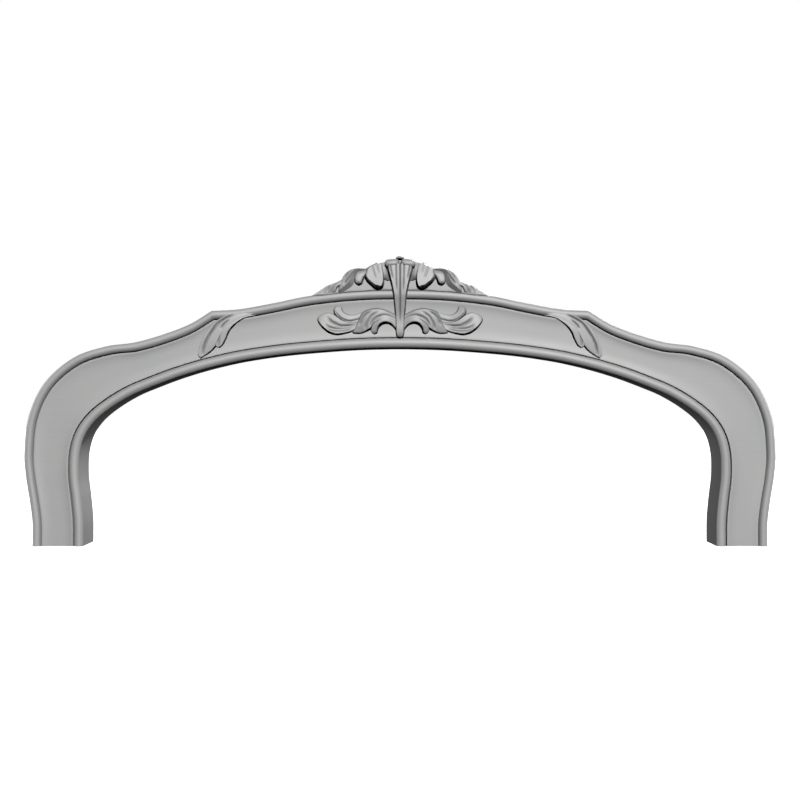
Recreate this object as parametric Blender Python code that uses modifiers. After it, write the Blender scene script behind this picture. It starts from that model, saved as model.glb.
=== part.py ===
# Carved top rail of a chair back, cut from one board.
# The rail is an arch on two short legs with a bead, a lip and a shallow scoop along its face.
# Leaves roll over a raised crest, a fluted drop hangs at the centre with a leaf spray on each side,
# and one leaf runs down from each shoulder.
# X is the width, the carved face looks along -Y, Z is up and the leg ends stand on Z = 0.

import math

import bmesh
import bpy
import numpy as np

# Driving dimensions, in millimetres
SLAB = 26.4              # board thickness behind the level of the quirks
CREST_PROUD = 15.3       # foremost carving, in front of the level of the quirks
BEAD_PROUD = 2.3         # both edge beads
OUTER_BEAD = (7.0, 6.7)  # bead width at the leg and at the arch
INNER_BEAD = (7.4, 8.3)
LIP_PROUD = 0.95         # lips along both sides of the scoop
LIP_WIDTH = 1.4
SCOOP_POWER = 3.4        # the scoop is flat in the middle and steep beside the lips
QUIRK_DEPTH = 0.3
QUIRK_WIDTH = 0.5
BACK_ARRIS = 0.8
CREASE_WIDTH = 0.06      # as a share of its leaf's width
CREASE_FADE_IN = 8       # how fast a crease deepens along its leaf, and how fast it dies away
CREASE_FADE_OUT = 4
LEAST_DROP = 0.3         # a flank is at least this high
PAINT = (0.36, 0.36, 0.36, 1.0)
ROUGHNESS = 0.55

# Fineness of the mesh
BEAD_STEPS = 5
SCOOP_STEPS = 6
STATION_STEPS = 2        # rail sections for each pair of outline points
EDGE_STEPS = 60          # points along a leaf's edge
SWELLING_SEGMENTS = 10
SAME_PLACE = 0.01        # two edges this near have met at a tip
TIP_MERGE = 0.00002      # metres, as is the next one
MIRROR_GAP = 0.00005

MM = 0.001
FACE_Y = -(SLAB - CREST_PROUD) / 2

# Right half of the rail, from the leg end to the middle: (x, z) of the outer and the inner edge
LEG_OUTER = [
    (293.3, 0), (293.4, 19.2), (295.6, 36.8), (298.6, 56), (299.8, 75), (296.4, 103.8), (283.7, 130.4),
    (260.9, 150.2), (235.4, 159.2), (211.5, 162.6), (189.1, 168.9), (167.6, 177.2), (150.4, 187.7),
]
ARCH_OUTER = [(150.4, 187.7), (127.7, 189.1), (99.8, 194.1), (71.8, 199.7), (35.9, 203.5), (0, 204.5)]
INNER = [
    (252.6, 0), (252.7, 19.2), (254.3, 37.6), (256.3, 55.2), (255.8, 73.5), (251.7, 88.2), (243.3, 100.1),
    (230.6, 110.5), (214.7, 120), (199.5, 126.5), (179.6, 134), (159.6, 140.2), (139.7, 145.2),
    (122.1, 148.7), (96.6, 152.4), (69.4, 155.1), (35.1, 157.5), (0, 158.3),
]

# Each carving of the right half: its two edges from root to tip as (x, z), its height in front of
# the quirks along both edges, the ground it stands on, and the run of its flanks for each unit of
# height. A crease is (place across at the root, the same at the tip, depth, start, end).
CREST_LEAVES = {
    "shell_side": {
        "left": [(16.5, 225.2), (16.0, 221.9), (15.0, 217.9), (13.6, 213.6), (11.6, 211.7), (9.5, 211.2)],
        "right": [(8.0, 227.0), (6.6, 223.5), (5.6, 219.5), (4.8, 215.6), (5.2, 212.4), (9.5, 211.2)],
        "heights": [(4, 4), (6.6, 6.6), (7, 7), (4.4, 4.4)],
        "ground": (1, 1), "draft": (0.25, 0.25), "soft": 1.2, "cells": (6, 5), "creases": [],
    },
    "shell_leaf": {
        "left": [(20.1, 225.1), (25.2, 222.6), (27.8, 218.3), (28.4, 214.0), (26.5, 210.2), (23.2, 207.0),
                 (20.4, 204.7), (17.2, 203.7)],
        "right": [(17.4, 225.2), (14.6, 223.9), (13.2, 220.7), (12.6, 216.8), (12.4, 212.8), (12.6, 208.6),
                  (14.0, 205.2), (17.2, 203.7)],
        "heights": [(9.2, 9.2), (10.8, 10.8), (12.2, 12.2), (14.0, 14.0), (15.3, 15.0)],
        "ground": (2, 3), "draft": (0.28, 0.16), "soft": 1.6, "cells": (10, 10),
        "creases": [(0.3, 0.3, 0.7, 0, 0.5), (0.6, 0.6, 0.8, 0, 0.6)],
    },
    "finger": {
        "left": [(32.3, 219.6), (34.4, 218.0), (35.9, 215.4), (36.4, 212.4), (35.7, 209.0), (33.0, 207.1)],
        "right": [(24.3, 219.9), (25.5, 217.6), (27.3, 214.8), (28.9, 211.4), (30.1, 208.5), (33.0, 207.1)],
        "heights": [(3, 3.6), (5.8, 6.4), (6.8, 7.2), (7, 7.2), (5.2, 5.4)],
        "ground": (2, 2), "draft": (0.35, 0.35), "soft": 1.5, "cells": (6, 6), "creases": [],
    },
    "sweep_leaf": {
        "left": [(26.9, 221.3), (33.3, 221.7), (38.8, 220.6), (43.2, 217.8), (46.1, 213.7), (48.0, 209.4),
                 (49.3, 205.4), (49.2, 202.4), (47.6, 201.2)],
        "right": [(27.2, 217.9), (31.7, 217.2), (34.5, 215.0), (35.6, 211.5), (37.4, 207.7), (40.6, 205.0),
                  (44.0, 202.8), (46.0, 201.6), (47.6, 201.2)],
        "heights": [(6.4, 7.6), (5, 7.4), (2.8, 6.6), (2.2, 5.6), (2.2, 4.6)],
        "ground": (1, 2), "draft": (0.3, 0.9), "soft": 0.8, "cells": (9, 8), "roll": True,
        "creases": [(0.35, 0.35, 0.6, 0.2, 0.9), (0.62, 0.62, 0.6, 0.2, 0.9)],
    },
    "low_leaf": {
        "left": [(43.0, 214.5), (50.8, 210.4), (55.6, 208.7), (59.5, 206.9), (60.9, 204.7), (60.9, 202.3),
                 (60.7, 199.9)],
        "right": [(44.0, 206.5), (48.4, 205.8), (49.8, 203.6), (50.4, 201.9), (52.8, 201.2), (56.6, 200.8),
                  (60.7, 199.9)],
        "heights": [(3, 4.8), (2.8, 4.0), (2.6, 2.8), (2.5, 2.2)],
        "ground": (0.5, 0.5), "draft": (0.4, 0.5), "soft": 0.8, "cells": (6, 5), "roll": True, "creases": [],
    },
    "end_leaf": {
        "left": [(57.0, 207.6), (61.7, 205.3), (65.3, 202.9), (68.1, 201.1), (71.5, 199.2)],
        "right": [(57.0, 201.4), (60.5, 200.7), (63.7, 200.2), (66.9, 199.6), (71.5, 199.2)],
        "heights": [(2.2, 2.6), (1.8, 2.2), (1.4, 1.7), (1, 1.2)],
        "ground": (0.5, 0.5), "draft": (0.5, 0.6), "soft": 0.8, "cells": (4, 4), "roll": True, "creases": [],
    },
}
SPRAY_LEAVES = {
    "fan": {
        "left": [(1.7, 183.2), (7.9, 186.9), (12.7, 189.0), (18.3, 190.0), (23.8, 189.3), (28.6, 187.5),
                 (31.8, 184.8), (33.8, 180.2), (35.8, 175.4), (37.9, 171.3), (37.2, 169.4), (33.4, 168.9)],
        "right": [(1.5, 174.0), (6.8, 178.6), (11.1, 180.2), (15.5, 179.5), (19.1, 177.0), (21.6, 174.0),
                  (23.8, 172.2), (26.2, 171.0), (28.0, 170.2), (29.5, 169.7), (31.3, 169.1), (33.4, 168.9)],
        "heights": [(3.4, 4), (5.8, 6.4), (6.6, 7.4), (6.2, 7.0), (4.6, 5.2), (3, 3.4)],
        "ground": (0, 0), "draft": (0.27, 0.27), "soft": 1.0, "cells": (12, 9),
        "creases": [(0.45, 0.3, 0.9, 0.05, 0.8), (0.75, 0.6, 0.9, 0.05, 0.7)],
    },
    "curl": {
        "left": [(1.1, 180.6), (6.8, 183.5), (10.7, 184.3), (15.1, 183.7), (19.1, 181.3), (21.9, 177.4),
                 (23.1, 173.4), (22.3, 170.3), (20.2, 168.7)],
        "right": [(0.9, 169.3), (5.2, 174.7), (7.9, 176.9), (10.7, 177.6), (13.7, 177.0), (15.9, 175.3),
                  (17.3, 172.8), (18.0, 170.0), (20.2, 168.7)],
        "heights": [(4, 4.6), (6, 6.8), (6.6, 7.2), (5.4, 6.0), (3.6, 4)],
        "ground": (2, 0), "draft": (0.27, 0.35), "soft": 1.0, "cells": (10, 6),
        "creases": [(0.45, 0.45, 0.6, 0.2, 0.9)],
    },
    "spray": {
        "left": [(31.0, 182.0), (38.2, 179.6), (43.7, 179.6), (48.1, 181.7), (52.5, 184.8), (56.8, 186.2),
                 (62.0, 185.0), (65.2, 182.7), (66.0, 180.7)],
        "right": [(31.0, 176.2), (38.2, 171.6), (44.5, 169.5), (50.9, 168.5), (56.8, 170.2), (61.6, 173.7),
                  (64.0, 176.6), (65.4, 178.8), (66.0, 180.7)],
        "heights": [(2.4, 2.4), (3.2, 4.6), (3.6, 5.6), (2.8, 5), (1.8, 2.8)],
        "ground": (0, 0), "draft": (0.35, 0.3), "soft": 1.0, "cells": (9, 9),
        "creases": [(0.35, 0.35, 0.8, 0.1, 0.8), (0.65, 0.65, 0.8, 0.1, 0.8)],
    },
    "spray_tip": {
        "left": [(29.4, 178.3), (36.6, 177.6), (43.1, 178.1), (48.5, 180.9), (51.9, 184.1), (53.0, 186.9),
                 (52.1, 189.5), (49.3, 191.0)],
        "right": [(29.8, 186.4), (34.2, 184.5), (38.9, 183.8), (42.9, 184.5), (45.9, 186.4), (47.1, 188.7),
                  (47.5, 190.3), (49.3, 191.0)],
        "heights": [(2.6, 2.2), (4.8, 2.8), (6, 3), (5.4, 2.8), (3.6, 2.4)],
        "ground": (0, 0), "draft": (0.3, 0.35), "soft": 1.0, "cells": (8, 6),
        "creases": [(0.5, 0.5, 0.7, 0.1, 0.7)],
    },
}
SHOULDER_LEAVES = {
    "shoulder_leaf": {
        "left": [(127.5, 186.0), (136.1, 185.6), (142.5, 182.4), (148.4, 178.4), (153.8, 172.0),
                 (157.6, 165.3), (160.0, 158.8), (161.3, 152.8), (158.9, 149.2)],
        "right": [(114.6, 185.2), (124.0, 182.4), (131.5, 179.1), (137.9, 174.3), (141.5, 169.1),
                  (144.3, 163.6), (146.8, 158.9), (151.2, 154.3), (158.9, 149.2)],
        "heights": [(2.5, 2.5), (3.5, 3.5), (4.2, 4), (4.4, 4), (4.1, 3.5), (3.6, 3)],
        "ground": (0.3, 0.3), "draft": (0.35, 0.3), "soft": 1.0, "cells": (10, 8),
        "creases": [(0.4, 0.4, 0.7, 0.1, 0.8)],
    },
    "shoulder_lobe": {
        "left": [(122.0, 184.5), (134.5, 182.1), (141.1, 178.1), (144.3, 172.9), (145.9, 168.3),
                 (147.0, 162.0), (146.7, 159.2), (144.2, 157.9)],
        "right": [(112.0, 184.2), (121.8, 182.2), (127.3, 179.5), (132.5, 175.3), (136.1, 170.7),
                  (138.6, 164.9), (141.3, 160.0), (144.2, 157.9)],
        "heights": [(2.5, 2.5), (3.5, 3.5), (4, 4), (3.5, 3.5), (3, 3)],
        "ground": (0.3, 0.3), "draft": (0.3, 0.3), "soft": 1.0, "cells": (8, 6), "creases": [],
    },
}
BURIED = {"crest": 12.0, "spray": 4.0, "shoulder": 4.0}
BURIED_STEP = 0.7        # so that no two carvings end in one plane

# The bolster behind the crest leaves and the fluted drop, both right half only, from tip to middle
BOLSTER_TOP = [
    (73.4, 198.4), (65.4, 202.2), (59.9, 205.4), (54.3, 207.8), (48.7, 210.6), (43.9, 216.0),
    (38.3, 219.6), (30.3, 220.4), (23.9, 223.2), (16.8, 225.0), (9.6, 227.4), (3.2, 229.4), (0, 229.8),
]
BOLSTER_FOOT = [(73.4, 198.4), (60, 197.5), (45, 199.4), (30, 200.4), (15, 201.2), (0, 201.4)]
BOLSTER_HEIGHT = 2.3
DROP_EDGE = [
    (15.0, 223.7), (13.5, 221.6), (11.2, 217.2), (8.3, 211.0), (5.9, 200.4), (5.0, 193.0), (4.1, 184.0),
    (3.8, 177.8), (3.7, 172.8), (3.4, 168.6), (2.2, 166.0), (0, 165.2),
]
DROP_HEIGHTS = [12.5, 12.8, 13.8, 15.2, 15.6, 13.6, 11.2, 10.6, 10.6, 10.0, 8.4, 6.0]
DROP_DRAFT = (0.46, 0.33, 0.22, 0.15, 0.15, 0.15, 0.15, 0.15, 0.15, 0.15, 0.15, 0.15)
ROLL_CENTRE = (6.6, 224.1)
ROLL_RADII = (5.6, 5.0, 4.1)   # along, deep and high
ROLL_HEIGHT = 8.3              # of its centre, in front of the quirks
ROLL_SLOPE = 0.1               # radians, down towards the outside
CAP_CENTRE = (0, 229.0)
CAP_RADII = (3.4, 6.0, 1.8)
CAP_HEIGHT = 3.6


# Point on the smooth curve through the points; t counts them from 0
def along(points, t):
    keys = np.array(points, float)
    keys = np.vstack([2 * keys[0] - keys[1], keys, 2 * keys[-1] - keys[-2]])
    start = min(int(t), len(keys) - 4)
    f = t - start
    a, b, c, d = keys[start:start + 4]
    return b + f / 2 * (c - a + f * (2 * a - 5 * b + 4 * c - d + f * (3 * b - 3 * c + d - a)))


# The same curve at shares of its length in points, from 0 to 1
def curve(points, shares):
    return np.array([along(points, share * (len(points) - 1)) for share in shares])


def mirrored(points):
    return points + [(-x, z) for x, z in reversed(points[:-1])]


def distance_to(path, points):
    start, run = path[:-1], np.diff(path, axis=0)
    offset = points[:, None] - start
    share = np.clip((offset * run).sum(2) / np.maximum((run ** 2).sum(1), 1e-9), 0, 1)
    return np.linalg.norm(offset - share[..., None] * run, axis=2).min(1)


# One value for the whole leaf, or values in turn from its root to its tip
def spread(values, shares):
    values = np.atleast_1d(values)
    return np.interp(shares, np.linspace(0, 1, len(values)), values)


# The smaller of two heights, with the corner between them rounded
def soft_min(a, b, soft):
    blend = np.clip(soft - np.abs(a - b), 0, None) / soft
    return np.minimum(a, b) - blend ** 2 * soft / 4


def in_object(x, z, height):
    return np.array([x, FACE_Y - height, z]) * MM


def collection(name):
    found = bpy.data.collections.new(name)
    bpy.context.scene.collection.children.link(found)
    return found


def add_object(name, mesh_data, target, material=None):
    mesh = bpy.data.meshes.new(name)
    mesh_data.to_mesh(mesh)
    mesh_data.free()
    obj = bpy.data.objects.new(name, mesh)
    target.objects.link(obj)
    if material:
        mesh.materials.append(material)
    return obj


def add_mirror(obj):
    modifier = obj.modifiers.new("mirror", "MIRROR")
    modifier.merge_threshold = MIRROR_GAP
    modifier.use_clip = True


# Arc of a bead from edge to edge, as (across, height)
def bead(start, width, rise):
    radius = (width ** 2 / 4 + rise ** 2) / (2 * rise)
    half = math.asin(width / 2 / radius)
    turns = [half * (2 * step / BEAD_STEPS - 1) for step in range(BEAD_STEPS + 1)]
    return [(start + width / 2 + radius * math.sin(a), rise - radius * (1 - math.cos(a))) for a in turns]


# Section of the rail from its outer edge to its inner edge and round the back
def section(width, share):
    outer = OUTER_BEAD[0] + (OUTER_BEAD[1] - OUTER_BEAD[0]) * share
    inner = INNER_BEAD[0] + (INNER_BEAD[1] - INNER_BEAD[0]) * share
    lip_out = outer + QUIRK_WIDTH + LIP_WIDTH
    lip_in = width - inner - QUIRK_WIDTH - LIP_WIDTH
    ring = bead(0, outer, BEAD_PROUD)
    ring.append((outer + QUIRK_WIDTH / 2, -QUIRK_DEPTH))
    ring.append((outer + QUIRK_WIDTH, LIP_PROUD / 2))
    for step in range(SCOOP_STEPS + 1):
        place = step / SCOOP_STEPS
        depth = abs(2 * place - 1) ** SCOOP_POWER
        ring.append((lip_out + (lip_in - lip_out) * place, LIP_PROUD * depth))
    ring.append((width - inner - QUIRK_WIDTH, LIP_PROUD / 2))
    ring.append((width - inner - QUIRK_WIDTH / 2, -QUIRK_DEPTH))
    ring += bead(width - inner, inner, BEAD_PROUD)
    ring += [(width, BACK_ARRIS - SLAB), (width - BACK_ARRIS, -SLAB)]
    ring += [(BACK_ARRIS, -SLAB), (0, BACK_ARRIS - SLAB)]
    return ring


# The moulded rail: its right half, open at the middle, with a mirror
def make_rail(target, material):
    arch_keys = ARCH_OUTER + [(-x, z) for x, z in ARCH_OUTER[-2:-1]]
    inner_keys = INNER + [(-x, z) for x, z in INNER[-2:-1]]
    corner = len(LEG_OUTER) - 1
    last = len(INNER) - 1
    shape = bmesh.new()
    rings = []
    for station in range(last * STATION_STEPS + 1):
        place = station / STATION_STEPS
        outer = along(LEG_OUTER, place) if place < corner else along(arch_keys, place - corner)
        inner = along(inner_keys, place)
        width = np.linalg.norm(inner - outer)
        across = (inner - outer) / width
        ring = []
        for offset, height in section(width, place / last):
            x, z = outer + across * offset
            ring.append(shape.verts.new(in_object(x, z, height)))
        rings.append(ring)
    for ring, following in zip(rings, rings[1:]):
        for step in range(len(ring)):
            shape.faces.new((ring[step - 1], ring[step], following[step], following[step - 1]))
    shape.faces.new(rings[0])
    bmesh.ops.recalc_face_normals(shape, faces=shape.faces)
    rail = add_object("top_rail", shape, target, material)
    add_mirror(rail)
    return rail


# One carving as a closed solid: a grid laid between its two edges, raised by its heights,
# with drafted flanks, then walled down into the rail
def make_carving(name, target, left, right, heights, ground, draft, soft, cells, creases,
                 buried, roll=False):
    rows, columns = cells
    shape = bmesh.new()
    bmesh.ops.create_grid(shape, x_segments=columns, y_segments=rows, size=1)
    shape.verts.ensure_lookup_table()
    grid = np.array([vert.co[:2] for vert in shape.verts]) / 2 + 0.5
    s = (1 - np.cos(math.pi * grid[:, 0])) / 2
    t = grid[:, 1]
    left_path, right_path = curve(left, t), curve(right, t)
    s[np.linalg.norm(right_path - left_path, axis=1) < SAME_PLACE] = 0.5
    places = left_path + (right_path - left_path) * s[:, None]
    steps = np.linspace(0, 1, EDGE_STEPS)
    from_left = distance_to(curve(left, steps), places) / spread(draft[0], t)
    from_right = distance_to(curve(right, steps), places) / spread(draft[1], t)
    crown = curve(heights, t)
    mix = np.sqrt(1 - (1 - s) ** 2) if roll else s
    base = ground[0] + (ground[1] - ground[0]) * s
    drop = np.maximum(crown[:, 0] + (crown[:, 1] - crown[:, 0]) * mix - base, LEAST_DROP)
    wall = np.maximum(soft_min(soft_min(from_left, from_right, soft), drop, soft), 0)
    for at_root, at_tip, depth, start, end in creases:
        off = np.abs(s - at_root - (at_tip - at_root) * t) / CREASE_WIDTH
        fade = np.clip((t - start) * CREASE_FADE_IN, 0, 1) * np.clip((end - t) * CREASE_FADE_OUT, 0, 1)
        wall = wall - depth * fade * np.exp(-off) * np.clip(wall / drop, 0, 1)
    for vert, (x, z), height in zip(shape.verts, places, base + wall):
        vert.co = in_object(x, z, height)
    bmesh.ops.remove_doubles(shape, verts=shape.verts, dist=TIP_MERGE)
    rim = [edge for edge in shape.edges if edge.is_boundary]
    extruded = bmesh.ops.extrude_edge_only(shape, edges=rim)["geom"]
    for vert in extruded:
        if isinstance(vert, bmesh.types.BMVert):
            vert.co.y = (FACE_Y + buried) * MM
    floor = [edge for edge in extruded if isinstance(edge, bmesh.types.BMEdge) and edge.is_boundary]
    bmesh.ops.contextual_create(shape, geom=floor)
    bmesh.ops.recalc_face_normals(shape, faces=shape.faces)
    return add_object(name, shape, target)


# A rounded swelling, turned about Y
def make_swelling(name, target, centre, radii, height, slope=0.0):
    shape = bmesh.new()
    bmesh.ops.create_uvsphere(
        shape, u_segments=SWELLING_SEGMENTS, v_segments=SWELLING_SEGMENTS // 2 + 1, radius=1)
    middle = in_object(*centre, height)
    for vert in shape.verts:
        along_x, deep, high = (vert.co[axis] * radii[axis] * MM for axis in range(3))
        vert.co.x = middle[0] + along_x * math.cos(slope) + high * math.sin(slope)
        vert.co.y = middle[1] + deep
        vert.co.z = middle[2] - along_x * math.sin(slope) + high * math.cos(slope)
    return add_object(name, shape, target)


def add_union(rail, carving):
    carving.hide_render = True
    carving.display_type = "WIRE"
    modifier = rail.modifiers.new(carving.name, "BOOLEAN")
    modifier.operation = "UNION"
    modifier.solver = "EXACT"
    modifier.object = carving


def make_material():
    paint = bpy.data.materials.new("satin_grey_paint_on_beech")
    paint.use_nodes = True
    shader = paint.node_tree.nodes["Principled BSDF"]
    shader.inputs["Base Color"].default_value = PAINT
    shader.inputs["Roughness"].default_value = ROUGHNESS
    shader.inputs["Metallic"].default_value = 0.0
    return paint


def main():
    for obj in list(bpy.data.objects):
        bpy.data.objects.remove(obj)
    parts = collection("carved_chair_top_rail")
    carvings = collection("carvings")
    rail = make_rail(parts, make_material())

    bolster = make_carving(
        "bolster", carvings, mirrored(BOLSTER_TOP), mirrored(BOLSTER_FOOT),
        [(BOLSTER_HEIGHT, BOLSTER_HEIGHT)] * 2, ground=(0, -1.5), draft=(0.5, 0.75), soft=3.0,
        cells=(24, 4), creases=[], buried=SLAB)
    drop = make_carving(
        "drop", carvings, [(-x, z) for x, z in DROP_EDGE], DROP_EDGE,
        [(height, height) for height in DROP_HEIGHTS], ground=(0, 0), draft=(DROP_DRAFT, DROP_DRAFT),
        soft=1.0, cells=(16, 12), creases=[(0.5, 0.5, 1.2, -1, 0.9), (0.28, 0.28, 0.9, -1, 0.45),
                                 (0.72, 0.72, 0.9, -1, 0.45)], buried=BURIED["crest"])
    made = [bolster, drop]
    groups = (("crest", CREST_LEAVES), ("spray", SPRAY_LEAVES), ("shoulder", SHOULDER_LEAVES))
    for group, leaves in groups:
        for place, (name, leaf) in enumerate(leaves.items()):
            depth = BURIED[group] + place * BURIED_STEP
            carving = make_carving(name, carvings, buried=depth, **leaf)
            add_mirror(carving)
            made.append(carving)
    roll = make_swelling("drop_roll", carvings, ROLL_CENTRE, ROLL_RADII, ROLL_HEIGHT, ROLL_SLOPE)
    add_mirror(roll)
    made += [roll, make_swelling("drop_cap", carvings, CAP_CENTRE, CAP_RADII, CAP_HEIGHT)]
    for carving in made:
        add_union(rail, carving)


main()
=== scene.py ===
import math

import bmesh
import bpy
import numpy as np
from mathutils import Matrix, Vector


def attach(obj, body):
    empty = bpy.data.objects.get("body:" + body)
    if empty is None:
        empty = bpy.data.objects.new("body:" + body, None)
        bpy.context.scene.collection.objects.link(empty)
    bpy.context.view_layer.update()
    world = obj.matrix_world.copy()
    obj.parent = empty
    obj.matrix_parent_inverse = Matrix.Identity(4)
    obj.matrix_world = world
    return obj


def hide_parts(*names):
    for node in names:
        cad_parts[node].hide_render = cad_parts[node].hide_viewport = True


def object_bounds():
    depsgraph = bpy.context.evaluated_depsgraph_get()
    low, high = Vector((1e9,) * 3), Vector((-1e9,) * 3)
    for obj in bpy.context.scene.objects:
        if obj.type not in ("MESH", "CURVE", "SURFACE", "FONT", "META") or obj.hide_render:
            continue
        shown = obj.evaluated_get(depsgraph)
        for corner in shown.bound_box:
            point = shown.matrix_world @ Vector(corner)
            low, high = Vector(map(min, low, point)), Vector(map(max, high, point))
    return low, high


# Carved chair top rail: one board with a beaded, scooped face, leaves over the crest,
# a fluted drop with a spray on each side and one leaf on each shoulder.
# Lengths are millimetres; x and z are seen from the front, a height stands in front of the quirks.
mm = 0.001
weld = 1e-6                      # metres between points that become one

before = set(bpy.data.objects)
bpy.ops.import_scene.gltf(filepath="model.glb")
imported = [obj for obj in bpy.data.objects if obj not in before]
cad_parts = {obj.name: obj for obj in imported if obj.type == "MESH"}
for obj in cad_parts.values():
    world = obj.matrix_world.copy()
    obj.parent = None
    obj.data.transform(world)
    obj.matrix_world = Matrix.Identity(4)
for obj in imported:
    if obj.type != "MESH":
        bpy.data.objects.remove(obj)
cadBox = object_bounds()
print("frame loaded")


# Points on the smooth curve through the keys, at shares of the way along it
def curve(keys, shares):
    keys = np.array(keys, float)
    keys = np.concatenate([2 * keys[:1] - keys[1:2], keys, 2 * keys[-1:] - keys[-2:-1]])
    place = np.asarray(shares, float) * (len(keys) - 3)
    start = np.clip(place.astype(int), 0, len(keys) - 4)
    f = (place - start)[:, None]
    a, b, c, d = (keys[start + step] for step in range(4))
    return b + f / 2 * (c - a + f * (2 * a - 5 * b + 4 * c - d + f * (3 * b - 3 * c + d - a)))


# A half outline that ends on the middle line, made whole
def mirrored(points):
    return points + [(-x, z) for x, z in reversed(points[:-1])]


# Distance from each point to a path, and the share of the path where it is nearest
def nearest(path, points):
    start, run = path[:-1], np.diff(path, axis=0)
    offset = points[:, None] - start
    share = np.clip((offset * run).sum(2) / np.maximum((run ** 2).sum(1), 1e-9), 0, 1)
    away = np.linalg.norm(offset - share[..., None] * run, axis=2)
    best = away.argmin(1)
    rows = np.arange(len(points))
    return away[rows, best], (best + share[rows, best]) / len(run)


# The smaller of two heights, with the corner between them rounded
def softMin(a, b, soft):
    blend = np.clip(soft - np.abs(a - b), 0, None) / soft
    return np.minimum(a, b) - blend ** 2 * soft / 4


# The finished bmesh as an object at the origin
def addObject(name, shape):
    mesh = bpy.data.meshes.new(name)
    shape.to_mesh(mesh)
    shape.free()
    obj = bpy.data.objects.new(name, mesh)
    bpy.context.scene.collection.objects.link(obj)
    return obj


# The moulded rail, right half: paired points of its outer and inner edge from the leg end to the middle
rail = {
    "slab": 26.4,                # board behind the level of the quirks
    "outer": [
        (293.3, 0), (293.4, 19.2), (295.6, 36.8), (298.6, 56), (299.8, 75), (296.4, 103.8), (283.7, 130.4),
        (260.9, 150.2), (235.4, 159.2), (211.5, 162.6), (189.1, 168.9), (167.6, 177.2), (150.4, 187.7),
    ],
    "arch": [(150.4, 187.7), (127.7, 189.1), (99.8, 194.1), (71.8, 199.7), (35.9, 203.5), (0, 204.5)],
    "inner": [
        (252.6, 0), (252.7, 19.2), (254.3, 37.6), (256.3, 55.2), (255.8, 73.5), (251.7, 88.2), (243.3, 100.1),
        (230.6, 110.5), (214.7, 120), (199.5, 126.5), (179.6, 134), (159.6, 140.2), (139.7, 145.2),
        (122.1, 148.7), (96.6, 152.4), (69.4, 155.1), (35.1, 157.5), (0, 158.3),
    ],
    "outerBead": (7.0, 7.0),     # width at the leg and at the arch
    "innerBead": (7.4, 7.6),
    "beadProud": 2.3,
    "lipProud": 0.95,
    "lipWidth": 0.7,
    "lipShoulder": 0.9,          # height of the lip beside its quirk, as a share of lipProud
    "scoopPower": 3.4,           # flat in the middle and steep beside the lips
    "quirkDepth": 1.1,
    "quirkWidth": 0.85,
    "quirkRoot": 0.65,           # where it is deepest across its width
    "wallTop": 0.5,              # keeps the shading of the beads off the sawn edges
    "arris": 0.8,
    "beadSteps": 14,
    "scoopSteps": 20,
    "stations": 8,               # sections for each pair of points
    "sampleWidth": 40,           # only to count the points of a section, the same at every width
}
faceY = cadBox[1].y / mm - rail["slab"]


# Front view places and heights, in object space
def inObject(x, z, height):
    return np.stack([x, faceY - height, z], axis=-1) * mm


# Section of the rail as (across, height) pairs, from its outer edge over the face and round the back
def railSection(width, share):
    outer = rail["outerBead"][0] + (rail["outerBead"][1] - rail["outerBead"][0]) * share
    inner = rail["innerBead"][0] + (rail["innerBead"][1] - rail["innerBead"][0]) * share
    quirk, lip, proud = rail["quirkWidth"], rail["lipWidth"], rail["beadProud"]

    def bead(start, size):
        radius = (size ** 2 / 4 + proud ** 2) / (2 * proud)
        half = math.asin(size / 2 / radius)
        turns = np.linspace(-half, half, rail["beadSteps"] + 1)
        return [(start + size / 2 + radius * math.sin(a), proud - radius * (1 - math.cos(a))) for a in turns]

    ring = bead(0, outer)
    ring.append((outer + quirk * rail["quirkRoot"], -rail["quirkDepth"]))
    ring.append((outer + quirk, rail["lipProud"] * rail["lipShoulder"]))
    lipOut, lipIn = outer + quirk + lip, width - inner - quirk - lip
    for step in range(rail["scoopSteps"] + 1):
        place = step / rail["scoopSteps"]
        ring.append((lipOut + (lipIn - lipOut) * place,
                     rail["lipProud"] * abs(2 * place - 1) ** rail["scoopPower"]))
    ring.append((width - inner - quirk, rail["lipProud"] * rail["lipShoulder"]))
    ring.append((width - inner - quirk * (1 - rail["quirkRoot"]), -rail["quirkDepth"]))
    ring += bead(width - inner, inner)
    arris, slab, top = rail["arris"], rail["slab"], rail["wallTop"]
    ring += [(width, -top), (width, arris - slab), (width - arris, -slab)]
    ring += [(arris, -slab), (0, arris - slab), (0, -top), (0, 0)]
    return np.array(ring)


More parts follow.
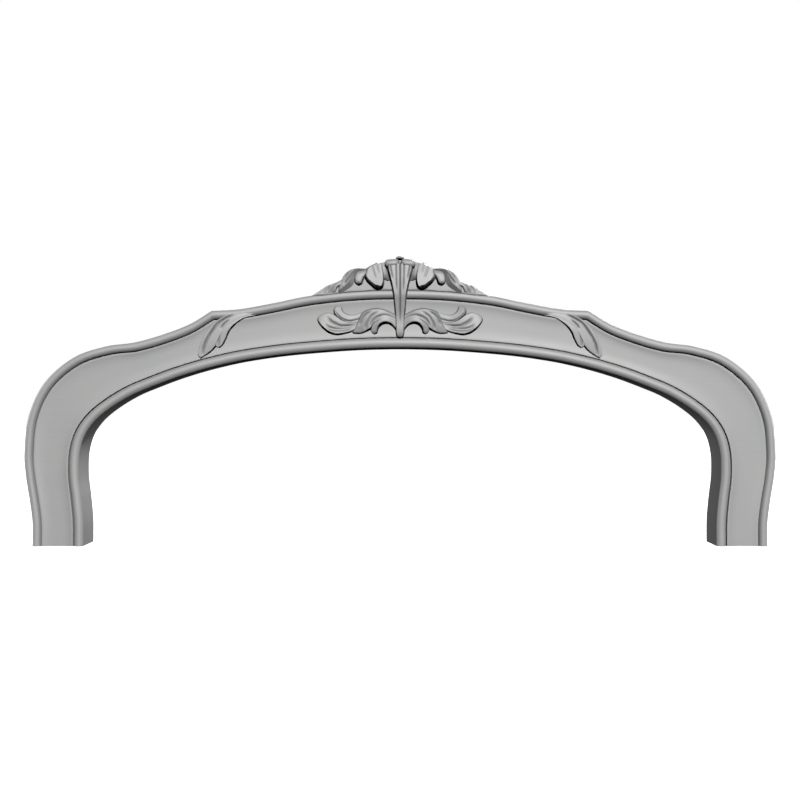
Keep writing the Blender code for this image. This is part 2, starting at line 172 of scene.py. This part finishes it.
# The rail is a grid laid along the arch, its rows bent round the section
def makeRail():
    keys = len(rail["inner"]) - 1
    corner = len(rail["outer"]) - 1
    around = len(railSection(rail["sampleWidth"], 0)) - 1
    stations = keys * rail["stations"]
    shape = bmesh.new()
    bmesh.ops.create_grid(shape, x_segments=2 * stations, y_segments=around, size=1)
    arch = rail["arch"] + [(-x, z) for x, z in rail["arch"][-2:-1]]
    innerKeys = rail["inner"] + [(-x, z) for x, z in rail["inner"][-2:-1]]
    places = np.linspace(0, keys, stations + 1)
    legOuter = curve(rail["outer"], np.clip(places / corner, 0, 1))
    archOuter = curve(arch, np.clip((places - corner) / (len(arch) - 1), 0, 1))
    outer = np.where((places < corner)[:, None], legOuter, archOuter)
    inner = curve(innerKeys, places / (len(innerKeys) - 1))
    sections = []
    for a, b, place in zip(outer, inner, places):
        width = np.linalg.norm(b - a)
        ring = railSection(width, place / keys)
        flat = a + (b - a) / width * ring[:, :1]
        sections.append(inObject(flat[:, 0], flat[:, 1], ring[:, 1]))
    for vert in shape.verts:
        side = round(vert.co.x * stations)
        place = sections[stations - abs(side)][round((vert.co.y + 1) / 2 * around)]
        vert.co = place if side > 0 else place * (-1, 1, 1)
    bmesh.ops.remove_doubles(shape, verts=shape.verts, dist=weld)
    ends = [edge for edge in shape.edges if edge.is_boundary]
    bmesh.ops.holes_fill(shape, edges=ends)
    bmesh.ops.recalc_face_normals(shape, faces=shape.faces)
    return addObject("carved_top_rail", shape)


# A leaf has two edges from root to tip, its height over each place in rows from root to tip,
# the ground it stands on, the run of its flanks for each unit of height, the radius and the fall
# of the rounding along each edge, and its flutes: depth, width and the line each follows.
crestLeaves = {
    "shellLeaf": {
        "left": [(20.1, 225.1), (25.2, 222.6), (27.8, 218.3), (28.4, 214.0), (26.5, 210.2), (23.2, 207.0),
                 (20.4, 204.7), (17.2, 203.7)],
        "right": [(17.4, 225.2), (14.6, 223.9), (13.2, 220.7), (12.6, 216.8), (12.4, 212.8), (12.6, 208.6),
                  (14.0, 205.2), (17.2, 203.7)],
        "heights": [(9.2, 9.2), (10.2, 10.2), (11.0, 11.0), (12.2, 12.2), (14.0, 13.8), (15.2, 14.8)],
        "ground": (2, 3), "draft": (0.25, 0.12), "round": (1.6, 0.9), "fall": (1.0, 0.7),
        "cells": (66, 56),
        "flutes": [(0.6, 1.9, [(22.9, 225.0), (21.8, 220.7), (20.5, 216.0), (18.9, 212.2)]),
                   (0.5, 1.9, [(18.9, 225.4), (18.1, 220.7), (16.8, 216.2)]),
                   (0.3, 1.5, [(15.4, 224.8), (14.2, 219.3), (12.6, 213.7)])],
    },
    "shellSide": {
        "left": [(16.5, 225.2), (16.0, 221.9), (15.0, 217.9), (13.6, 213.6), (11.6, 211.7), (9.5, 211.2)],
        "right": [(8.0, 227.0), (6.6, 223.5), (5.6, 219.5), (4.8, 215.6), (5.2, 212.4), (9.5, 211.2)],
        "heights": [(4, 4), (6.6, 6.6), (6.6, 6.6), (3.8, 3.8), (2.5, 2.5)],
        "ground": (2, 2), "draft": (0.2, 0.2), "round": (1.0, 1.0), "fall": (0.6, 0.6), "cells": (36, 30),
        "flutes": [(0.6, 1.5, [(13.0, 225.7), (11.9, 221.0), (10.3, 216.2), (9.1, 212.3)])],
    },
    "finger": {
        "left": [(32.3, 219.6), (34.4, 218.0), (35.9, 215.4), (36.4, 212.4), (35.7, 209.0), (33.0, 207.1)],
        "right": [(24.3, 219.9), (25.5, 217.6), (27.3, 214.8), (28.9, 211.4), (30.1, 208.5), (33.0, 207.1)],
        "heights": [(3, 3.6), (5.8, 6.4), (6.8, 7.2), (7.0, 7.2), (4.6, 4.8)],
        "ground": (2, 2), "draft": (0.2, 0.3), "round": (3.4, 4.0), "fall": (1.8, 2.2), "cells": (40, 36),
        "flutes": [],
    },
    "sweepLeaf": {
        "left": [(26.9, 221.3), (33.3, 221.7), (38.8, 220.6), (43.2, 217.8), (46.1, 213.7), (48.0, 209.4),
                 (49.3, 205.4), (49.2, 202.4), (47.6, 201.2)],
        "right": [(27.2, 217.9), (31.7, 217.2), (34.5, 215.0), (35.6, 211.5), (37.4, 207.7), (40.6, 205.0),
                  (44.0, 202.8), (46.0, 201.6), (47.6, 201.2)],
        "heights": [(6.4, 7.6), (5.0, 7.4), (2.6, 6.6), (1.8, 5.6), (1.8, 4.6)],
        "ground": (1, 2), "draft": (0.25, 0.9), "round": (0.6, 1.2), "fall": (0.4, 0.2),
        "cells": (66, 50), "roll": True,
        "flutes": [(1.7, 2.2, [(34.8, 220.3), (37.2, 217.2), (41.2, 212.4), (45.1, 207.7)]),
                   (1.4, 1.7, [(37.6, 221.1), (39.6, 219.1), (41.6, 216.4), (43.2, 213.6)]),
                   (1.3, 1.6, [(40.0, 220.3), (42.4, 216.4), (44.7, 211.6)]),
                   (1.0, 1.3, [(42.8, 218.3), (44.7, 214.8), (46.3, 210.8)])],
    },
    "lowLeaf": {
        "left": [(43.0, 214.5), (50.8, 210.4), (55.6, 208.7), (59.5, 206.9), (60.9, 204.7), (60.9, 202.3),
                 (60.7, 199.9)],
        "right": [(44.0, 206.5), (48.4, 205.8), (49.8, 203.6), (50.4, 201.9), (52.8, 201.2), (56.6, 200.8),
                  (60.7, 199.9)],
        "heights": [(3, 4.8), (2.8, 4.0), (2.6, 2.8), (2.5, 2.0)],
        "ground": (0.5, 0.5), "draft": (0.3, 0.5), "round": (0.6, 1.6), "fall": (0.4, 0.5),
        "cells": (40, 32), "roll": True,
        "flutes": [(0.9, 1.5, [(56.0, 208.0), (57.2, 205.2), (58.0, 202.0)]),
                   (0.9, 1.6, [(49.5, 210.5), (52.6, 207.4), (54.4, 203.8), (55.0, 201.0)])],
    },
    "endLeaf": {
        "left": [(57.0, 207.6), (61.7, 205.3), (65.3, 202.9), (68.1, 201.1), (71.5, 199.2)],
        "right": [(57.0, 201.4), (60.5, 200.7), (63.7, 200.2), (66.9, 199.6), (71.5, 199.2)],
        "heights": [(2.2, 2.6), (1.8, 2.2), (1.4, 1.7), (1, 1.2)],
        "ground": (0.5, 0.5), "draft": (0.3, 0.4), "round": (0.5, 1.0), "fall": (0.3, 0.6),
        "cells": (24, 18), "roll": True, "flutes": [],
    },
}
sprayLeaves = {
    "fan": {
        "left": [(0.6, 183.2), (7.9, 187.1), (12.7, 189.2), (18.3, 190.2), (23.8, 189.5), (28.6, 187.7),
                 (31.8, 185.0), (33.8, 180.2), (35.8, 175.4), (38.2, 171.0), (37.4, 169.4), (33.4, 168.9)],
        "right": [(0.6, 173.0), (4.2, 176.5), (8.2, 179.3), (12.2, 180.1), (16.2, 178.9), (19.4, 176.6),
                  (21.6, 174.0), (23.8, 172.2), (26.2, 171.0), (28.9, 169.8), (31.3, 169.1), (33.4, 168.9)],
        "heights": [(3.2, 3.8), (5.4, 6.0), (6.6, 7.4), (6.6, 7.6), (5.6, 6.2), (3.8, 4.2), (2.6, 3)],
        "ground": (0, 0), "draft": (0.28, 0.2), "round": (0.9, 1.6), "fall": (0.5, 1.6),
        "cells": (84, 64),
        "flutes": [(1.5, 2.6, [(0.8, 177.2), (3.2, 179.2), (6.3, 181.9), (10.3, 183.3), (14.3, 183.3),
                               (18.2, 182.1), (21.4, 179.5), (23.0, 176.0), (23.4, 172.0)]),
                   (1.2, 2.1, [(16.6, 186.7), (21.8, 183.9), (24.9, 179.9), (26.9, 176.0), (27.7, 172.0)]),
                   (1.0, 1.8, [(22.2, 186.7), (26.1, 185.1), (29.3, 182.3), (30.9, 179.2), (32.5, 175.2)])],
    },
    "curl": {
        "left": [(0.5, 179.6), (6.3, 183.1), (10.7, 184.3), (15.1, 183.7), (19.1, 181.3), (21.9, 177.4),
                 (23.1, 173.4), (22.5, 170.3), (20.2, 168.5)],
        "right": [(0.5, 167.8), (5.2, 174.1), (7.9, 176.3), (10.7, 177.1), (13.7, 176.5), (15.9, 174.8),
                  (17.2, 172.4), (17.8, 169.9), (20.2, 168.5)],
        "heights": [(3.6, 4.2), (5.6, 6.4), (6.4, 7.4), (6.0, 6.8), (4.8, 5.4), (3.4, 3.8)],
        "ground": (2, 0), "draft": (0.14, 0.28), "round": (1.0, 3.2), "fall": (0.5, 2.6),
        "cells": (60, 40),
        "flutes": [(0.3, 1.2, [(15.4, 180.7), (18.2, 178.4), (19.8, 174.4), (20.6, 171.2)])],
    },
    "spray": {
        "left": [(30.0, 182.0), (38.2, 179.6), (43.7, 179.6), (48.1, 181.9), (52.5, 185.0), (56.8, 186.4),
                 (62.0, 185.2), (65.4, 182.7), (66.2, 180.7)],
        "right": [(30.0, 175.3), (38.2, 170.9), (44.5, 168.8), (50.9, 167.9), (56.8, 169.7), (61.6, 173.3),
                  (64.2, 176.4), (65.6, 178.8), (66.2, 180.7)],
        "heights": [(2.4, 2.4), (3.0, 4.0), (3.8, 5.6), (3.2, 5.6), (2.3, 4.4), (1.4, 2.4)],
        "ground": (0, 0), "draft": (0.22, 0.3), "round": (1.2, 2.2), "fall": (0.5, 1.6),
        "cells": (76, 60),
        "flutes": [(1.5, 2.3, [(58.7, 183.2), (56.3, 180.5), (53.9, 178.5), (50.8, 176.9), (47.6, 175.5),
                               (43.6, 175.3), (39.7, 175.7), (34.1, 176.5)]),
                   (1.2, 1.9, [(59.5, 177.7), (57.1, 174.9), (53.9, 173.7), (50.0, 173.1), (43.6, 173.7),
                               (39.7, 174.5), (34.9, 175.3)]),
                   (0.9, 1.5, [(58.7, 174.1), (56.3, 172.5), (51.6, 171.3), (46.0, 171.5), (41.3, 172.5),
                               (35.7, 174.1)])],
    },
    "sprayTip": {
        "left": [(29.0, 178.0), (36.6, 177.4), (43.1, 177.9), (48.5, 180.7), (52.1, 184.1), (53.2, 186.9),
                 (52.7, 189.6), (51.2, 191.2), (49.0, 191.7)],
        "right": [(29.0, 187.4), (33.8, 185.3), (38.5, 184.4), (41.9, 185.1), (44.5, 186.7), (45.7, 188.7),
                  (46.2, 190.5), (47.2, 191.5), (49.0, 191.7)],
        "heights": [(2.6, 2.2), (4.4, 2.6), (6.0, 3.0), (6.0, 2.8), (4.8, 2.6), (3.4, 2.2)],
        "ground": (0, 0), "draft": (0.24, 0.22), "round": (1.2, 1.2), "fall": (0.8, 0.7),
        "cells": (60, 46),
        "flutes": [(1.4, 1.8, [(51.6, 189.2), (50.1, 185.3), (48.1, 182.8), (45.2, 180.6), (42.0, 179.5),
                               (38.2, 179.3), (33.4, 180.7), (29.4, 182.5)]),
                   (0.6, 1.1, [(44.5, 179.2), (40.5, 178.6), (35.8, 178.9), (31.4, 180.0)])],
    },
}
shoulderLeaves = {
    "shoulderLeaf": {
        "left": [(127.5, 186.0), (136.1, 185.6), (142.5, 182.4), (148.4, 178.4), (153.8, 172.0),
                 (157.6, 165.3), (160.0, 158.8), (161.3, 152.8), (158.9, 149.2)],
        "right": [(114.6, 185.2), (124.0, 182.4), (131.5, 179.1), (137.9, 174.3), (141.5, 169.1),
                  (144.3, 163.6), (146.8, 158.9), (151.2, 154.3), (158.9, 149.2)],
        "heights": [(2.5, 2.5), (3.5, 3.5), (4.2, 4), (4.4, 4), (4.1, 3.5), (3.6, 3)],
        "ground": (0.3, 0.3), "draft": (0.24, 0.2), "round": (1.4, 1.4), "fall": (0.9, 0.9),
        "cells": (66, 56),
        "flutes": [(1.5, 2.0, [(130.3, 185.3), (134.2, 183.7), (139.8, 180.9), (145.4, 176.6),
                               (149.3, 171.4), (152.5, 166.2), (155.3, 160.3), (156.5, 154.7),
                               (156.9, 151.6)]),
                   (1.1, 1.6, [(135.8, 180.5), (139.8, 177.0), (142.6, 173.0)])],
    },
    "shoulderLobe": {
        "left": [(122.0, 184.5), (134.5, 182.1), (141.1, 178.1), (144.3, 172.9), (145.9, 168.3),
                 (147.0, 162.0), (146.7, 159.2), (144.2, 157.9)],
        "right": [(112.0, 184.2), (121.8, 182.2), (127.3, 179.5), (132.5, 175.3), (136.1, 170.7),
                  (138.6, 164.9), (141.3, 160.0), (144.2, 157.9)],
        "heights": [(2.5, 2.5), (3.5, 3.5), (4, 4), (3.5, 3.5), (3, 3)],
        "ground": (0.3, 0.3), "draft": (0.2, 0.2), "round": (1.2, 1.2), "fall": (0.8, 0.8),
        "cells": (50, 34),
        "flutes": [(0.9, 1.7, [(128.7, 183.3), (132.7, 181.7), (137.4, 179.4), (141.4, 175.0),
                               (142.7, 171.4), (143.8, 166.6), (144.2, 161.1), (144.6, 157.9)])],
    },
}
buried = {"crest": 12.0, "spray": 4.0, "shoulder": 4.0}  # how far the walls run into the board
buriedStep = 0.7                 # so that no two carvings end in one plane
carving = {
    "soft": 0.15,                # rounding where a flank meets the top
    "leastRise": 0.3,            # top over ground
    "mostFall": 0.6,             # the rounding along an edge never takes more than this share of the rise
    "crowdAcross": 0.5,          # share of the spacing that crowds cells towards both edges
    "crowdAlong": 0.4,           # share of it that crowds them towards the tip
    "edgeSteps": 160,
    "fluteFade": 5,              # a flute is at full depth from 1/5 of its length in from each end
    "metGap": 0.01,              # closer than this, the two edges have met
    "swellingCells": (32, 24),
    "creaseAngle": 35,           # degrees past which an edge is shaded sharp
}

bolster = {                      # behind the crest leaves
    "top": [
        (73.4, 198.4), (65.4, 202.2), (59.9, 205.4), (54.3, 207.8), (48.7, 210.6), (43.9, 216.0),
        (38.3, 219.6), (30.3, 220.4), (23.9, 223.2), (16.8, 225.0), (9.6, 227.4), (3.2, 229.4), (0, 229.8),
    ],
    "foot": [(73.4, 198.4), (60, 197.5), (45, 199.4), (30, 200.4), (15, 201.2), (0, 201.4)],
    "height": 2.3,
    "ground": (0, -1.5),
    "draft": (0.5, 0.9),
    "round": (2.5, 3.2),
    "fall": (1.0, 1.2),
    "cells": (120, 24),
}
drop = {                         # fluted, down the middle
    "edge": [
        (15.0, 223.7), (13.5, 221.6), (11.2, 217.2), (8.3, 211.0), (5.9, 200.4), (5.0, 193.0), (4.1, 184.0),
        (3.8, 177.8), (3.7, 172.8), (3.4, 168.6), (2.2, 166.0), (0, 165.2),
    ],
    "heights": [12.5, 12.8, 13.6, 14.6, 14.9, 13.2, 11.2, 10.6, 10.6, 10.0, 8.4, 6.0],
    "draft": (0.46, 0.33, 0.19, 0.1) + (0.09,) * 8,  # spread at the top, steep further down
    "round": (1.8, 1.8),
    "fall": (1.0, 1.0),
    "cells": (84, 96),
    "flutes": [(1.4, 1.3, [(0, 234), (0, 215), (0, 195), (0, 177)]),
               (1.0, 1.1, [(3.1, 234), (3.1, 222), (2.9, 212), (2.5, 201)]),
               (1.0, 1.1, [(7.8, 223.0), (7.0, 218.5), (5.6, 211.5)])],
    "rollCentre": (6.2, 224.1),
    "rollRadii": (6.0, 8.0, 4.1),
    "rollHeight": 5.4,
    "rollSlope": 0.1,
    "rollBlunt": 0.42,           # below 1 for ends fuller than an ellipse's
    "capCentre": (0, 229.2),
    "capRadii": (3.4, 6.0, 1.6),
    "capHeight": 2.6,
}


# One leaf: a grid between its two edges, raised, then walled down into the rail and closed
def makeLeaf(name, left, right, heights, ground, draft, round, fall, cells, flutes, depth, roll=False,
             pair=True):
    shape = bmesh.new()
    bmesh.ops.create_grid(shape, x_segments=cells[1], y_segments=cells[0], size=1)
    grid = np.array([vert.co[:2] for vert in shape.verts]) / 2 + 0.5
    across, along = carving["crowdAcross"], carving["crowdAlong"]
    s = (1 - np.cos(math.pi * grid[:, 0])) / 2 * across + grid[:, 0] * (1 - across)
    t = np.sin(math.pi / 2 * grid[:, 1]) * along + grid[:, 1] * (1 - along)
    leftPath, rightPath = curve(left, t), curve(right, t)
    s[np.linalg.norm(rightPath - leftPath, axis=1) < carving["metGap"]] = 0.5
    places = leftPath + (rightPath - leftPath) * s[:, None]
    steps = np.linspace(0, 1, carving["edgeSteps"])
    crown = curve(heights, t)
    mix = np.sqrt(1 - (1 - s) ** 2) if roll else s
    base = ground[0] + (ground[1] - ground[0]) * s
    rise = np.maximum(crown[:, 0] + (crown[:, 1] - crown[:, 0]) * mix - base, carving["leastRise"])
    top, wall = rise.copy(), np.full(len(rise), np.inf)
    for edge, run, radius, sink in zip((left, right), draft, round, fall):
        away = nearest(curve(edge, steps), places)[0]
        wall = np.minimum(wall, away / np.interp(t, np.linspace(0, 1, np.size(run)), np.atleast_1d(run)))
        bend = 1 - np.clip(away / radius, 0, 1)
        top -= np.minimum(sink, rise * carving["mostFall"]) * (1 - np.sqrt(1 - bend ** 2))
    for deep, wide, line in flutes:
        away, share = nearest(curve(line, steps), places)
        fade = np.prod([np.clip(part * carving["fluteFade"], 0, 1) for part in (share, 1 - share)], axis=0)
        top -= deep * fade * np.clip(1 - away / wide, 0, 1) ** 2
    wall = np.maximum(softMin(wall, top, carving["soft"]), 0)
    for vert, place in zip(shape.verts, inObject(places[:, 0], places[:, 1], base + wall)):
        vert.co = place
    bmesh.ops.remove_doubles(shape, verts=shape.verts, dist=weld)
    rim = [edge for edge in shape.edges if edge.is_boundary]
    walls = bmesh.ops.extrude_edge_only(shape, edges=rim)["geom"]
    for vert in walls:
        if isinstance(vert, bmesh.types.BMVert):
            vert.co.y = (faceY + depth) * mm
    floor = [edge for edge in walls if isinstance(edge, bmesh.types.BMEdge) and edge.is_boundary]
    bmesh.ops.contextual_create(shape, geom=floor)
    if pair:
        bmesh.ops.mirror(shape, geom=shape.verts[:] + shape.edges[:] + shape.faces[:], axis="X",
                         merge_dist=-1)
    bmesh.ops.recalc_face_normals(shape, faces=shape.faces)
    return addObject(name, shape)


# A rounded swelling; the slope is in radians
def makeSwelling(name, centre, radii, height, slope=0.0, blunt=1.0, pair=True):
    shape = bmesh.new()
    around, upright = carving["swellingCells"]
    bmesh.ops.create_uvsphere(shape, u_segments=around, v_segments=upright, radius=1)
    middle = inObject(centre[0], centre[1], height)
    for vert in shape.verts:
        full = math.copysign(abs(vert.co.x) ** blunt, vert.co.x)
        across, deep, high = np.array((full, vert.co.y, vert.co.z)) * radii * mm
        vert.co = middle + (across * math.cos(slope) + high * math.sin(slope), deep,
                            high * math.cos(slope) - across * math.sin(slope))
    if pair:
        bmesh.ops.mirror(shape, geom=shape.verts[:] + shape.edges[:] + shape.faces[:], axis="X",
                         merge_dist=-1)
    bmesh.ops.recalc_face_normals(shape, faces=shape.faces)
    return addObject(name, shape)


# Everything that is carved on the rail, each as a closed mesh that reaches into the board
def makeCarvings():
    made = [
        makeLeaf("bolster", mirrored(bolster["top"]), mirrored(bolster["foot"]),
                 [(bolster["height"],) * 2] * 2, bolster["ground"], bolster["draft"], bolster["round"],
                 bolster["fall"], bolster["cells"], [], rail["slab"], pair=False),
        makeLeaf("drop", [(-x, z) for x, z in drop["edge"]], drop["edge"], [(h, h) for h in drop["heights"]],
                 (0, 0), (drop["draft"], drop["draft"]), drop["round"], drop["fall"], drop["cells"],
                 drop["flutes"] + [(d, w, [(-x, z) for x, z in line]) for d, w, line in drop["flutes"][1:]],
                 buried["crest"], pair=False),
    ]
    for group, leaves in (("crest", crestLeaves), ("spray", sprayLeaves), ("shoulder", shoulderLeaves)):
        for order, (name, leaf) in enumerate(leaves.items()):
            made.append(makeLeaf(name, depth=buried[group] + order * buriedStep, **leaf))
    made.append(makeSwelling("dropRoll", drop["rollCentre"], drop["rollRadii"], drop["rollHeight"],
                             drop["rollSlope"], drop["rollBlunt"]))
    made.append(makeSwelling("dropCap", drop["capCentre"], drop["capRadii"], drop["capHeight"], pair=False))
    return made


# One closed mesh of the body and the pieces, which are used up
def unite(body, pieces):
    for piece in pieces:
        union = body.modifiers.new(piece.name, "BOOLEAN")
        union.operation = "UNION"
        union.solver = "MANIFOLD"
        union.object = piece
    graph = bpy.context.evaluated_depsgraph_get()
    mesh = bpy.data.meshes.new_from_object(body.evaluated_get(graph))
    body.modifiers.clear()
    body.data = mesh
    for piece in pieces:
        bpy.data.objects.remove(piece)
    mesh.materials.clear()
    mesh.shade_smooth()
    mesh.set_sharp_from_angle(angle=math.radians(carving["creaseAngle"]))


# A hex colour as linear RGBA
def linear(code):
    values = [int(code[place:place + 2], 16) / 255 for place in (0, 2, 4)]
    return [v / 12.92 if v <= 0.04045 else ((v + 0.055) / 1.055) ** 2.4 for v in values] + [1.0]


def addNode(tree, kind, settings=None, links=None, values=None):
    node = tree.nodes.new(kind)
    for key, value in (settings or {}).items():
        setattr(node, key, value)
    for key, value in (values or {}).items():
        node.inputs[key].default_value = value
    for key, source in (links or {}).items():
        tree.links.new(source, node.inputs[key])
    return node


lacquer = {
    "light": "C3C3C2",
    "dark": "BCBDBD",
    "metallic": 0.34,
    "roughness": (0.61, 0.69),
    "grainPitch": 1.3,           # mm from one line of the wood's grain to the next
    "grainRun": 40.0,            # mm along a line before it wanders off
    "grainBump": 0.02,           # mm
    "grainShare": 0.8,           # weight of the grain beside the clouds
    "mixed": (0.6, 1.2),         # where the two together count as none and as full
    "grainNoise": {"Scale": 1.0, "Detail": 3.0, "Roughness": 0.6, "Distortion": 0.3},
    "patch": 45.0,               # mm across the places where the coat is a little thicker
    "patchDetail": 2.0,
}


# Pewter-grey lacquer over close-grained beech: a soft broad sheen, with the grain of the wood just
# showing through as fine lines along the width, and faint cloudy changes in the coat
def pewterLacquerOnBeech():
    material = bpy.data.materials.new("pewterLacquerOnBeech")
    material.use_nodes = True
    tree = material.node_tree
    shader = tree.nodes["Principled BSDF"]
    places = addNode(tree, "ShaderNodeTexCoord").outputs["Object"]
    pitch, run = 1 / (lacquer["grainPitch"] * mm), 1 / (lacquer["grainRun"] * mm)
    stretched = addNode(tree, "ShaderNodeMapping", links={"Vector": places},
                        values={"Scale": (run, pitch, pitch)}).outputs["Vector"]
    grain = addNode(tree, "ShaderNodeTexNoise", links={"Vector": stretched},
                    values=lacquer["grainNoise"]).outputs["Fac"]
    clouds = addNode(tree, "ShaderNodeTexNoise", links={"Vector": places},
                     values={"Scale": 1 / (lacquer["patch"] * mm),
                             "Detail": lacquer["patchDetail"]}).outputs["Fac"]
    mixed = addNode(tree, "ShaderNodeMath", {"operation": "MULTIPLY_ADD"},
                    {0: grain, 2: clouds}, {1: lacquer["grainShare"]}).outputs["Value"]
    low, high = lacquer["mixed"]
    share = addNode(tree, "ShaderNodeMapRange", links={"Value": mixed},
                    values={"From Min": low, "From Max": high}).outputs["Result"]
    colour = addNode(tree, "ShaderNodeMix", {"data_type": "RGBA"}, {0: share},
                     {6: linear(lacquer["dark"]), 7: linear(lacquer["light"])}).outputs[2]
    sheen = addNode(tree, "ShaderNodeMapRange", links={"Value": mixed},
                    values={"From Min": low, "From Max": high, "To Min": lacquer["roughness"][0],
                            "To Max": lacquer["roughness"][1]}).outputs["Result"]
    relief = addNode(tree, "ShaderNodeBump", links={"Height": grain},
                     values={"Strength": 1.0, "Distance": lacquer["grainBump"] * mm}).outputs["Normal"]
    tree.links.new(colour, shader.inputs["Base Color"])
    tree.links.new(sheen, shader.inputs["Roughness"])
    tree.links.new(relief, shader.inputs["Normal"])
    shader.inputs["Metallic"].default_value = lacquer["metallic"]
    return material


# A flat even white that melts into the white behind it
def paperWhite():
    material = bpy.data.materials.new("paperWhite")
    material.use_nodes = True
    shader = material.node_tree.nodes["Principled BSDF"]
    shader.inputs["Base Color"].default_value = linear("FFFFFF")
    shader.inputs["Emission Color"].default_value = linear("FFFFFF")
    shader.inputs["Emission Strength"].default_value = 1.0
    shader.inputs["Roughness"].default_value = 1.0
    return material


studio = {
    "mmPerPixel": 0.798,         # at the level of the quirks
    "cameraAway": 771,
    "eyeHeight": 116.6,
    "pixels": 800,
    "keyFrom": (0.13, 0.46, 0.88),  # right, up and towards the viewer
    "keySoftness": 3,            # degrees across
    "keyStrength": 2.85,
    "backFrom": (0.25, 0.5, -0.83),
    "backStrength": 2.1,
    "sidePlace": (1.2, 0.25, 0.3),  # metres, as is its size
    "sideTilt": 80,              # degrees from straight down
    "sideSize": 0.5,
    "sideStrength": 4.5,         # watts
    "floorSize": 6.0,            # metres
}


def makeCamera():
    data = bpy.data.cameras.new("camera")
    half = studio["pixels"] / 2 * studio["mmPerPixel"] / studio["cameraAway"]
    data.sensor_width = 36
    data.lens = data.sensor_width / 2 / half
    data.clip_start = 0.01
    camera = bpy.data.objects.new("camera", data)
    camera.location = inObject(0, studio["eyeHeight"], studio["cameraAway"])
    camera.rotation_euler = (math.pi / 2, 0, 0)
    bpy.context.scene.collection.objects.link(camera)
    bpy.context.scene.camera = camera


# A sun that shines from a direction given as right, up and towards the viewer
def addSun(name, towards, strength, shadows):
    data = bpy.data.lights.new(name, "SUN")
    data.angle = math.radians(studio["keySoftness"])
    data.energy = strength
    data.use_shadow = shadows
    light = bpy.data.objects.new(name, data)
    right, up, near = towards
    light.rotation_euler = (math.atan2(math.hypot(right, near), up), 0, math.atan2(right, near))
    bpy.context.scene.collection.objects.link(light)


# The key throws no shadows, as in the picture; the others light the back and the sides
def makeLights():
    addSun("key", studio["keyFrom"], studio["keyStrength"], False)
    addSun("back", studio["backFrom"], studio["backStrength"], True)
    for side in (-1, 1):
        data = bpy.data.lights.new("side", "AREA")
        data.size = studio["sideSize"]
        data.energy = studio["sideStrength"]
        light = bpy.data.objects.new("side", data)
        away, behind, up = studio["sidePlace"]
        light.location = (side * away, behind, up)
        light.rotation_euler = (0, side * math.radians(studio["sideTilt"]), 0)
        bpy.context.scene.collection.objects.link(light)


def makeFloor():
    shape = bmesh.new()
    bmesh.ops.create_grid(shape, x_segments=1, y_segments=1, size=studio["floorSize"] / 2)
    floor = addObject("floor", shape)
    floor.data.materials.append(paperWhite())
    floor.visible_diffuse = False
    floor.visible_glossy = False


def makeWorld():
    world = bpy.data.worlds.new("studio")
    world.use_nodes = True
    world.node_tree.nodes["Background"].inputs["Color"].default_value = (1, 1, 1, 1)
    world.node_tree.nodes["Background"].inputs["Strength"].default_value = 1.0
    world.cycles_visibility.diffuse = False
    world.cycles_visibility.glossy = False
    bpy.context.scene.world = world
    bpy.context.scene.view_settings.view_transform = "Standard"


carved = makeRail()
print("rail moulded:", len(carved.data.polygons), "faces")
leaves = makeCarvings()
print("leaves carved:", sum(len(leaf.data.polygons) for leaf in leaves), "faces")
unite(carved, leaves)
carved.data.materials.append(pewterLacquerOnBeech())
carved.visible_diffuse = False   # no light is thrown back into the hollows, as in the picture
carved.visible_glossy = False
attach(carved, "root")
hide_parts("top_rail")
triangles = sum(len(face.vertices) - 2 for face in carved.data.polygons)
print("one carved piece:", triangles, "triangles")

makeCamera()
makeLights()
makeWorld()
makeFloor()
print("camera, lights and floor placed")
